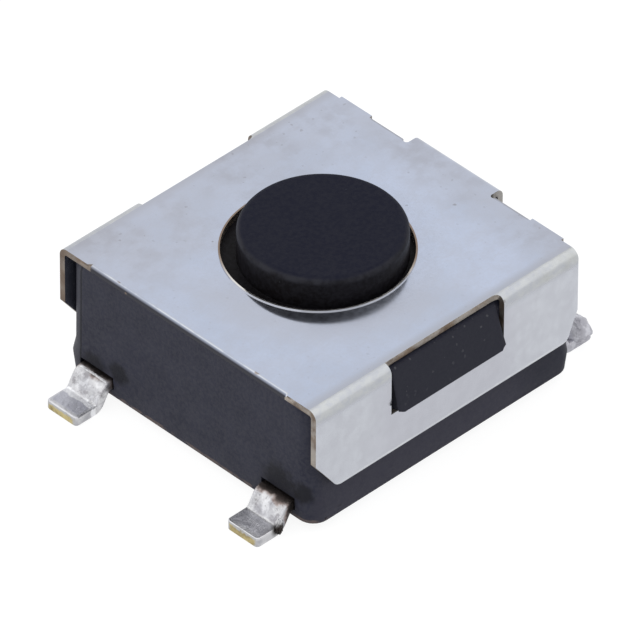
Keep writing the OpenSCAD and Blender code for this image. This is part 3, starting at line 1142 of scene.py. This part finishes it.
@dataclass
class FoldedCover:
    """The plated sheet: one stamping folded down on both sides, with its tab and windows."""

    width: float = 6.2
    length: float = 6.2
    top: float = 2.75
    thick: float = 0.12
    fold: float = 0.17
    skirt_end: float = 0.91
    window: Point = (1.33, 2.93, 1.72)
    window_corner: float = 0.12
    tab: Point = (1.0, 0.15, 1.80)
    tab_bend_x: float = 3.235
    notch: Pair = (0.06, 0.04)
    land: Point = (1.94, 2.68, 0.06)
    front_cut: Pair = (0.5, 0.68)
    rear_cut: Pair = (0.24, 0.57)
    cut_round: float = 0.1
    hole_r: float = 1.66
    hole_axis: Pair = (-0.015, 0.015)
    lip: Pair = (0.03, 0.022)
    milled: Pair = (2.35, 0.07)
    fold_steps: int = 12
    fine_edge: float = 0.01
    work: Bench = field(init=False)

    @property
    def flat(self) -> float:
        """Where the flat face ends along Y."""
        return self.width / 2 - self.fold

    def build(self, plating: bpy.types.Material, edge: bpy.types.Material) -> bpy.types.Object:
        """Model the sheet and dress it.

        Args:
            plating: Finish of its faces.
            edge: Finish of its cut edges.

        Returns:
            The finished piece.
        """
        self.work = Bench("cover_sheet", bpy.ops.mesh.primitive_plane_add,
                          (self.length / 2, self.flat, 1), size=2, location=(0, 0, self.top))
        self.work.edit()
        self._mark_out()
        self._bend_tab()
        self._fold_sides()
        self._trim_sides()
        self._open_windows()
        self.work.done()
        self.work.tag(0)
        self.work.modify("SOLIDIFY", thickness=self.thick, offset=-1, use_even_offset=True,
                         material_offset_rim=1)
        self._punch()
        self._round_edges()
        return self.work.finish(Body.HOUSING, "cover", "plated_cover", plating, edge)

    def _mark_out(self) -> None:
        """Divide the flat sheet where its tab, lands, windows and milled edge begin."""
        sheet = self.work
        sheet.saw_all(X_AXIS, (-self.window[0], self.window[0]))
        marks = (self.tab[0], *self.land[:2], self.milled[0])
        sheet.saw_all(Y_AXIS, [side * mark for mark in marks for side in BOTH])

    def _bend_tab(self) -> None:
        """Bend the tab down at +X and draw out the lands on its two sides."""
        sheet, end = self.work, self.length / 2
        half, bend_r, low = self.tab
        inner, outer, reach = self.land
        sheet.pick(Part.EDGES, lambda a, b: min(a.x, b.x) > end - SLACK
                   and inner - SLACK < min(abs(a.y), abs(b.y))
                   and max(abs(a.y), abs(b.y)) < outer + SLACK)
        sheet.push(x=reach)
        sheet.pick(Part.EDGES, lambda a, b: end - SLACK < min(a.x, b.x)
                   and max(abs(a.y), abs(b.y)) < half + SLACK)
        sheet.push(x=self.tab_bend_x - end)
        sheet.fold(-90, (self.tab_bend_x, 0, self.top - bend_r), Y_AXIS, 8)
        sheet.push(z=low - (self.top - bend_r))

    def _fold_sides(self) -> None:
        """Fold the two sides down."""
        sheet = self.work
        start = self.top - self.fold
        for side in BOTH:
            sheet.pick(Part.EDGES, lambda a, b: min(a.z, b.z) > self.top - SLACK
                       and min(side * a.y, side * b.y) > self.flat - SLACK)
            sheet.fold(90 * side, (0, side * self.flat, start), X_AXIS, self.fold_steps)
            sheet.push(z=self.skirt_end - start)

    def _pick_sides(self) -> None:
        """Pick the faces of the two folded sides."""
        self.work.pick(Part.FACES, lambda c, n: abs(c.y) > self.width / 2 - SLACK)

    def _trim_sides(self) -> None:
        """Cut the corners off the folded sides and round what is left below them."""
        sheet = self.work
        for sign, (cut_x, cut_z) in zip(BOTH, (self.front_cut, self.rear_cut)):
            self._pick_sides()
            sheet.saw((sign * self.length / 2, 0, self.skirt_end + cut_z),
                      (sign * cut_z, 0, -cut_x), True)
        sheet.pick(Part.POINTS, lambda p: p.z < self.skirt_end + NEAR and abs(p.x) > 2)
        sheet.round_off(self.cut_round, 4, "VERTICES")

    def _open_windows(self) -> None:
        """Open the two windows and round their upper corners."""
        sheet = self.work
        half, reach, low = self.window
        self._pick_sides()
        sheet.saw((0, 0, low), Z_AXIS)
        sheet.pick(Part.FACES, lambda c, n: abs(c.x) < half and abs(c.y) > reach and c.z > low)
        bpy.ops.mesh.delete(type="FACE")
        sheet.weld()
        radius = self.window_corner
        for step in range(self.fold_steps):
            turn = math.radians(90 * step / self.fold_steps)
            rest = radius - self.fold * turn
            if rest <= 0:
                break
            place = self.flat + self.fold * math.sin(turn)
            inward = radius - math.sqrt(radius * radius - rest * rest)
            sheet.pick(Part.POINTS, lambda p: abs(p.x - half) < NEAR
                       and abs(abs(p.y) - place) < NEAR
                       and p.z > self.top - self.fold - NEAR)
            sheet.scale((half - inward) / half, 1)

    def _punch(self) -> None:
        """Raise the lip, punch the hole through it and the round notches beside the tab."""
        sheet = self.work
        width, height = self.lip
        through = (self.top - 1, self.top + 1)
        sheet.cut_with(Bench.rod("lip", self.hole_r + width, self.top - self.thick / 2,
                                 self.top + height, self.hole_axis).tag(0), "UNION")
        sheet.cut_with(Bench.rod("hole", self.hole_r, *through, self.hole_axis).tag(1))
        radius, depth = self.notch
        centre_x = self.length / 2 - depth + radius
        for side in BOTH:
            centre = (centre_x, side * (self.tab[0] + radius))
            punch = Bench.rod("notch", radius, *through, centre, 24).tag(1)
            punch.edit()
            punch.pick(Part.POINTS, lambda p: p.x > centre_x + NEAR)
            punch.move(x=1)
            punch.done()
            sheet.cut_with(punch)

    def _round_edges(self) -> None:
        """Round the milled edge and break the other edges."""
        sheet = self.work
        reach, radius = self.milled
        line = -self.length / 2
        sheet.edit()
        sheet.pick(Part.EDGES, lambda a, b: max(a.x, b.x) < line + 2 * NEAR
                   and min(a.z, b.z) > self.top - 2 * NEAR
                   and max(abs(a.y), abs(b.y)) < reach + 2 * NEAR)
        sheet.round_off(radius, 5)
        sheet.done()
        sheet.paint(0, lambda c, n: c.x < line + radius + SLACK
                    and abs(c.y) < reach - SLACK / 2
                    and c.z > self.top - self.thick - SLACK)
        sheet.break_edges(self.fine_edge, 50)
        sheet.tidy()


@dataclass
class BaseBlock:
    """The moulded base with its snap bosses, contact well and terminal pockets."""

    half_x: float = 3.11
    half_y: float = 3.05
    low: float = 0.15
    high: float = 2.63
    corner_r: float = 0.32
    left_corner_r: float = 0.44
    well: Pair = (2.15, 0.68)
    levels: tuple[Point, ...] = (
        (0.15, 3.03, 2.97), (0.20, 3.08, 3.02), (0.55, 3.11, 3.05),
        (0.86, 3.1055, 2.97), (2.45, 3.0826, 2.97), (2.63, 3.08, 2.79))
    boss_half: float = 1.24
    boss_face: tuple[Pair, ...] = ((1.735, 3.24), (2.45, 3.038), (2.58, 3.00))
    boss_round: float = 0.035
    boss_trim: Point = (0.12, 0.05, 0.1)
    pocket: Pair = (1.80, 2.60)
    pocket_depth: float = 0.1
    pocket_z: Pair = (0.35, 0.62)
    fine_edge: float = 0.02
    work: Bench = field(init=False)

    def build(self, finish: bpy.types.Material) -> bpy.types.Object:
        """Model the base and dress it.

        Args:
            finish: Its finish.

        Returns:
            The finished piece.
        """
        base = self.work = Bench.block("base_moulding", (-self.half_x, -self.half_y, self.low),
                                       (self.half_x, self.half_y, self.high))
        base.edit()
        base.pick(Part.EDGES, lambda a, b: abs(a.z - b.z) > 1 and a.x - a.y > -1)
        base.round_off(self.corner_r, 8)
        base.pick(Part.EDGES, lambda a, b: abs(a.z - b.z) > 1
                  and a.x - a.y < SLACK - self.half_x - self.half_y)
        base.round_off(self.left_corner_r, 8)
        base.saw_all(Z_AXIS, [z for z, _, _ in self.levels[1:-1]])
        for z, x, y in self.levels:
            base.pick(Part.POINTS, lambda p: abs(p.z - z) < NEAR)
            base.scale(x / self.half_x, y / self.half_y, (0, 0, z))
        self._raise_bosses()
        self._trim_bosses()
        base.done()
        self._hollow()
        base.break_edges(self.fine_edge, 40)
        return base.finish(Body.HOUSING, "base", "black_moulding", finish)

    def _wall(self, height: float) -> float:
        """Give the side wall's place along Y at a height between two levels.

        Args:
            height: The height.

        Returns:
            The wall's distance from the middle.
        """
        for (low, _, first), (high, _, last) in zip(self.levels, self.levels[1:]):
            if low <= height <= high:
                return first + (last - first) * (height - low) / (high - low)
        return self.half_y

    def _raise_bosses(self) -> None:
        """Draw the two snap bosses out of the upper side walls."""
        base, half = self.work, self.boss_half
        (low, face), high = self.boss_face[0], self.boss_face[-1][0]
        proud = face - self._wall(low)
        for side in BOTH:
            for place in (low, high):
                base.pick(Part.FACES, lambda c, n: side * n.y > 0.5)
                base.saw((0, 0, place), Z_AXIS)
            for end in BOTH:
                base.pick(Part.FACES, lambda c, n: side * n.y > 0.5 and low < c.z < high)
                base.saw((end * half, 0, 0), X_AXIS)
            base.pick(Part.FACES, lambda c, n: side * n.y > 0.5 and low < c.z < high
                      and abs(c.x) < half)
            base.push(y=side * proud)
            for z, y in self.boss_face[1:]:
                now = self._wall(z) + proud
                base.pick(Part.POINTS, lambda p: abs(p.z - z) < NEAR
                          and abs(p.x) < half + SLACK and abs(side * p.y - now) < NEAR)
                base.move(y=side * (y - now))

    def _trim_bosses(self) -> None:
        """Trim the lower corners of the bosses and soften their edges."""
        base, half = self.work, self.boss_half
        (low, face), (high, front) = self.boss_face[0], self.boss_face[-1]
        left, right, rise = self.boss_trim
        base.pick(Part.FACES, lambda c, n: abs(c.y) > face - 0.3 and abs(c.x) < half)
        base.saw((0, 0, low + rise), Z_AXIS)
        for end, trim in zip(BOTH, (left, right)):
            base.pick(Part.POINTS, lambda p: abs(p.x - end * half) < NEAR
                      and abs(p.z - low) < NEAR and abs(p.y) > self._wall(low) + SLACK)
            base.move(x=-end * trim)
        base.pick(Part.EDGES, lambda a, b: min(abs(a.y), abs(b.y)) > front - SLACK
                  and min(a.z, b.z) > low - SLACK
                  and not (abs(a.z - b.z) < SLACK and low + SLACK < a.z < high - SLACK))
        base.round_off(self.boss_round, 3)

    def _hollow(self) -> None:
        """Cut the contact well and the four recesses round the terminals."""
        radius, floor = self.well
        self.work.cut_with(Bench.rod("well", radius, floor, self.high + 1))
        (near, far), (low, high) = self.pocket, self.pocket_z
        wall = self.half_x - self.pocket_depth
        for sx in BOTH:
            for sy in BOTH:
                self.work.cut_with(Bench.block("pocket", (sx * wall, sy * near, low),
                                               (sx * (wall + 1), sy * far, high)))


@dataclass
class PlungerKey:
    """The turned plunger: key, flange, shaft and nose, stacked up from the nose."""

    axis: Pair = (0.045, -0.045)
    steps: tuple[Pair, ...] = (
        (1.01, 0.45), (1.11, 0.55), (1.43, 0.55), (1.43, 1.1), (2.08, 1.1), (2.08, 2.025),
        (2.63, 2.025), (2.63, 1.47), (3.26, 1.47))
    key_round: float = 0.13
    fine_edge: float = 0.015

    def build(self, finish: bpy.types.Material) -> bpy.types.Object:
        """Model the plunger and dress it.

        Args:
            finish: Its finish.

        Returns:
            The finished piece.
        """
        (low, first), (second, wide), *rings = self.steps
        key = Bench.rod("plunger_key", first, low, second, self.axis)
        key.edit()
        key.pick(Part.FACES, lambda c, n: n.z > FACING)
        key.scale(wide / first, wide / first, (*self.axis, second))
        key.stack(second, wide, rings, self.axis)
        key.pick(Part.EDGES, lambda a, b: min(a.z, b.z) > self.steps[-1][0] - NEAR)
        key.round_off(self.key_round, 6)
        key.weld()
        key.done()
        key.break_edges(self.fine_edge, 40)
        return key.finish(Body.KEY, "plunger", "matte_black_moulding", finish)


@dataclass
class ContactStrip:
    """One contact strip that leaves the base on both sides in a gull-wing terminal."""

    name: str
    node: str
    across: float
    arms: tuple[float, ...] = (0.0,)
    pad_end: float = 0.0
    disc_r: float = 0.0
    half: float = 0.37
    low: float = 0.35
    high: float = 0.55
    pad_top: float = 0.70
    ramp: Pair = (0.75, 0.50)
    knee: float = 3.12163
    toes: Pair = (3.95, 3.98)
    bend_r: float = 0.06
    slope: float = 60.0
    beads: tuple[tuple[Point, Point], ...] = ()
    lumps: float = 0.018
    toe_round: float = 0.07
    fine_edge: float = 0.035
    work: Bench = field(init=False)

    def build(self, plating: bpy.types.Material, brass: bpy.types.Material) -> bpy.types.Object:
        """Model the strip and dress it.

        Args:
            plating: Finish of its faces.
            brass: Finish of its sheared toes.

        Returns:
            The finished piece.
        """
        strip = self.work = Bench.block(
            self.name, (-self.knee, self.across - self.half, self.low),
            (self.knee, self.across + self.half, self.high))
        strip.edit()
        self._draw_arms()
        for side in BOTH:
            self._bend_out(side)
        strip.done()
        if self.disc_r:
            strip.cut_with(Bench.rod("disc", self.disc_r, self.pad_top - (self.high - self.low),
                                     self.pad_top, sides=48), "UNION")
        strip.break_edges(self.fine_edge, 50, 3)
        strip.tag(0).paint(1, lambda c, n: abs(n.x) > FACING
                           and abs(c.x) > self.toes[0] - SLACK)
        for middle, radii in self.beads:
            strip.cut_with(self._bead(middle, radii), "UNION")
        strip.tidy()
        return strip.finish(Body.HOUSING, self.node, "plated_strip", plating, brass)

    def _bead(self, middle: Point, radii: Point) -> Bench:
        """Model a lumpy bead.

        Args:
            middle: Its middle.
            radii: Its radius along each axis.

        Returns:
            The bead.
        """
        bead = Bench("bead", bpy.ops.mesh.primitive_uv_sphere_add, radii, segments=28,
                     ring_count=16, radius=1, location=middle)
        bead.edit()
        bpy.ops.mesh.select_all(action="SELECT")
        bpy.ops.transform.vertex_random(offset=self.lumps, uniform=0.0, normal=1.0, seed=4)
        bead.done()
        return bead.tag(0)

    def _draw_arms(self) -> None:
        """Draw the arms out of the strip's inner side, up a ramp and on to their pads."""
        strip, inward = self.work, -math.copysign(1, self.across)
        for middle in self.arms:
            for edge in (middle - self.half, middle + self.half):
                strip.pick(Part.FACES, lambda c, n: inward * n.y > FACING)
                strip.saw((edge, 0, 0), X_AXIS)
        strip.pick(Part.FACES, lambda c, n: inward * n.y > FACING
                   and any(abs(c.x - middle) < self.half for middle in self.arms))
        start, end = self.ramp
        strip.push(y=inward * (abs(self.across) - self.half - start))
        strip.push(y=inward * (start - end), z=self.pad_top - self.high)
        strip.push(y=inward * (end - self.pad_end))

    def _bend_out(self, side: int) -> None:
        """Bend one end down, down the slope and out into its flat foot.

        Args:
            side: 1 for the end at +X, -1 for the end at -X.
        """
        strip, turn, thick = self.work, math.radians(self.slope), self.high - self.low
        middle = self.bend_r + thick / 2
        run = (self.low - 2 * middle * (1 - math.cos(turn))) / math.sin(turn)
        reach = self.knee + 2 * middle * math.sin(turn) + run * math.cos(turn)
        toe = self.toes[side > 0]
        strip.pick(Part.FACES, lambda c, n: side * n.x > FACING
                   and side * c.x > self.knee - SLACK)
        strip.fold(-side * self.slope, (side * self.knee, 0, self.low - self.bend_r), Y_AXIS, 6)
        strip.push(x=side * run * math.cos(turn), z=-run * math.sin(turn))
        strip.fold(side * self.slope, (side * reach, 0, thick + self.bend_r), Y_AXIS, 6)
        strip.push(x=side * (toe - reach))
        strip.pick(Part.EDGES, lambda a, b: min(side * a.x, side * b.x) > toe - NEAR
                   and abs(a.z - b.z) > 0.1)
        strip.round_off(self.toe_round, 3)


@dataclass
class ContactLeaf:
    """The snap dome under the plunger."""

    rim_r: float = 2.0
    cap_r: float = 1.85
    seat: float = 0.70
    rise: float = 0.25
    thick: float = 0.06
    crown_r: float = 0.2
    rings: int = 8
    pressed: float = 0.19

    def build(self, finish: bpy.types.Material) -> bpy.types.Object:
        """Model the dome and dress it.

        Args:
            finish: Its finish.

        Returns:
            The finished piece.
        """
        leaf = Bench.rod("dome_leaf", self.rim_r, self.seat, self.seat + self.thick)
        leaf.edit()
        for side, height in zip(BOTH, (self.seat, self.seat + self.thick)):
            leaf.pick(Part.FACES, lambda c, n: side * n.z > FACING)
            leaf.stack(height, self.rim_r, self._cap(height))
        leaf.weld()
        leaf.done()
        piece = leaf.finish(Body.HOUSING, "contact_dome", "spring_steel", finish)
        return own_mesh(piece)

    def _cap(self, height: float) -> list[Pair]:
        """Give the rings of the round cap from its edge to its crown.

        Args:
            height: Height of the face at the rim.

        Returns:
            Height and radius of each ring.
        """
        ball = (self.cap_r ** 2 + self.rise ** 2) / (2 * self.rise)
        step = (self.crown_r - self.cap_r) / (self.rings - 1)
        radii = [self.cap_r + step * ring for ring in range(self.rings)]
        return [(height + math.sqrt(ball ** 2 - wide ** 2) - (ball - self.rise), wide)
                for wide in radii]


# ---------------------------------------------------------------- studio


@dataclass
class Studio:
    """Floor, lamps, surroundings and camera of the product picture."""

    effects: Effects
    target: Point = (0.20588707, 0.18100046, 0.96351326)
    azimuth: float = -44.4965
    elevation: float = 39.4323
    roll: float = 0.2604
    distance: float = 253.2656
    lens: float = 838.894
    sensor: float = 36.0
    clip: Pair = (0.01, 10.0)
    floor_half: float = 400.0
    world_light: float = 0.75
    world_tint: Colour = (0.97, 0.98, 1.0)
    lamps: tuple[tuple[str, Point, float, float], ...] = (
        ("main_light", (-215, 100, 160), 450, 0.22), ("fill_light", (157, -87, 226), 400, 0.12))

    def build(self) -> None:
        """Put up the whole studio."""
        self._floor()
        self._world()
        for lamp in self.lamps:
            self._softbox(*lamp)
        self._camera()

    def _floor(self) -> None:
        """Lay the floor just under the solder feet."""
        bpy.ops.object.select_all(action="DESELECT")
        bpy.ops.mesh.primitive_plane_add(size=2 * self.floor_half * MM, location=(0, 0, 0))
        floor = bpy.context.object
        floor.name = "studio_floor"
        floor.data.materials.append(StudioFloor(self.effects).material())

    def _world(self) -> None:
        """Surround the switch with white, a little dimmer as light than as seen."""
        world = bpy.data.worlds.new("studio")
        bpy.context.scene.world = world
        world.use_nodes = True
        board = NodeBoard(world.node_tree)
        ray = board.add("LightPath")["Is Camera Ray"]
        board.pick_shader(
            ray | ray["Is Glossy Ray"] | ray["Is Transmission Ray"],
            board.add("Background", {"Color": self.world_tint, "Strength": self.world_light}),
            board.add("Background", {"Color": WHITE, "Strength": 1.0}), "World Output")

    def _softbox(self, name: str, place: Point, size: float, power: float) -> None:
        """Hang one square lamp that looks at the switch.

        Args:
            name: Its name.
            place: Where it hangs, in millimetres.
            size: Length of its side in millimetres.
            power: Its power in watts.
        """
        data = bpy.data.lights.new(name, "AREA")
        data.size = size * MM
        data.energy = power
        lamp = bpy.data.objects.new(name, data)
        lamp.location = Vector(place) * MM
        lamp.rotation_euler = (-Vector(place)).to_track_quat("-Z", "Y").to_euler()
        bpy.context.scene.collection.objects.link(lamp)

    def _camera(self) -> None:
        """Set the camera at the photograph's angle."""
        turn, rise = math.radians(self.azimuth), math.radians(self.elevation)
        back = Vector((math.sin(turn) * math.cos(rise), -math.cos(turn) * math.cos(rise),
                       math.sin(rise)))
        level = Vector((math.cos(turn), math.sin(turn), 0))
        lean = math.radians(self.roll)
        right = level * math.cos(lean) + back.cross(level) * math.sin(lean)
        axes = Matrix((right, back.cross(right), back)).transposed()
        data = bpy.data.cameras.new("camera")
        data.lens, data.sensor_width = self.lens, self.sensor
        data.clip_start, data.clip_end = self.clip
        place = (Vector(self.target) + back * self.distance) * MM
        camera = bpy.data.objects.new("camera", data)
        camera.matrix_world = Matrix.Translation(place) @ axes.to_4x4()
        bpy.context.scene.collection.objects.link(camera)
        bpy.context.scene.camera = camera


@dataclass
class Switch:
    """The whole switch, put together from its pieces."""

    effects: Effects
    blob: tuple[Point, Point] = ((3.78, -2.33, 0.235), (0.27, 0.38, 0.215))
    chip: tuple[Point, Point] = ((-3.46, -2.59, 0.21), (0.07, 0.06, 0.16))

    def build(self) -> None:
        """Build the pieces in order."""
        edge = ShearedEdge(self.effects).material()
        FoldedCover().build(PolishedPlating(self.effects).material(), edge)
        BaseBlock().build(BaseMoulding(self.effects).material())
        PlungerKey().build(KeyMoulding(self.effects).material())
        plating = TerminalPlating(self.effects).material()
        brass = BareBrass(self.effects).material()
        ContactStrip("centre_strip", "centre_contact_strip", -2.2, disc_r=0.5,
                     beads=(self.blob, self.chip)).build(plating, brass)
        ContactStrip("rim_strip", "rim_contact_strip", 2.2, arms=(-1.78, 1.78),
                     pad_end=-0.5).build(plating, brass)
        ContactLeaf().build(SpringSteel(self.effects).material())


def main() -> None:
    """Build the switch and put up the studio round it."""
    logging.basicConfig(level=logging.INFO, format="%(name)s: %(message)s")
    bpy.context.scene.view_settings.view_transform = "Standard"
    effects = Effects()
    Switch(effects).build()
    Studio(effects).build()


if __name__ == "__main__":
    main()
